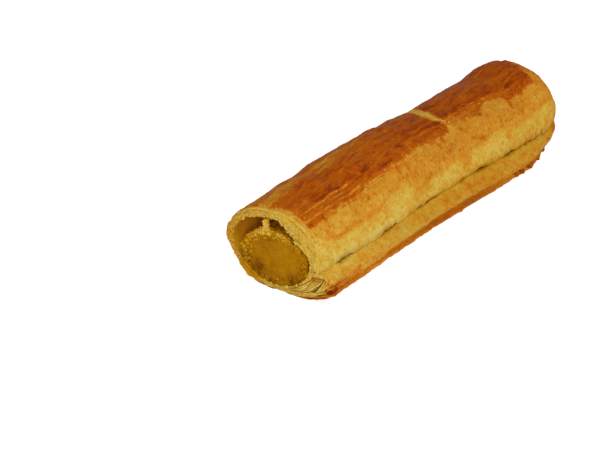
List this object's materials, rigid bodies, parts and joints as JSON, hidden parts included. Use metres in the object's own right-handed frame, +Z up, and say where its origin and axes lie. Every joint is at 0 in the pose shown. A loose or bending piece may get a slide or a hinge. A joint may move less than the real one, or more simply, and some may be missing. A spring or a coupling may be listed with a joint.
{
  "type": "sausage roll",
  "caption": "Long baked puff pastry roll, cut across at one end and folded shut at the other, with a lapped seam along one side and a firm paste filling that shows in the cut.",
  "frame": {"origin": "centre of the bounding box's bottom, on the surface that the roll rests on", "axes": "+X along the roll from the cut end to the shut end, +Z up, and the lapped lip with its seam along the -Y side"},
  "size_m": [0.2282, 0.0624, 0.0493],
  "materials": {
    "pastry": "baked puff pastry, egg-glazed brown on top, pale gold and flaky lower down and in the cut",
    "filling": "matt ground paste, crumbly and lighter round its rim"
  },
  "bodies": {
    "root": {"pastry": "pastry", "filling": "filling"}
  },
  "joints": []
}
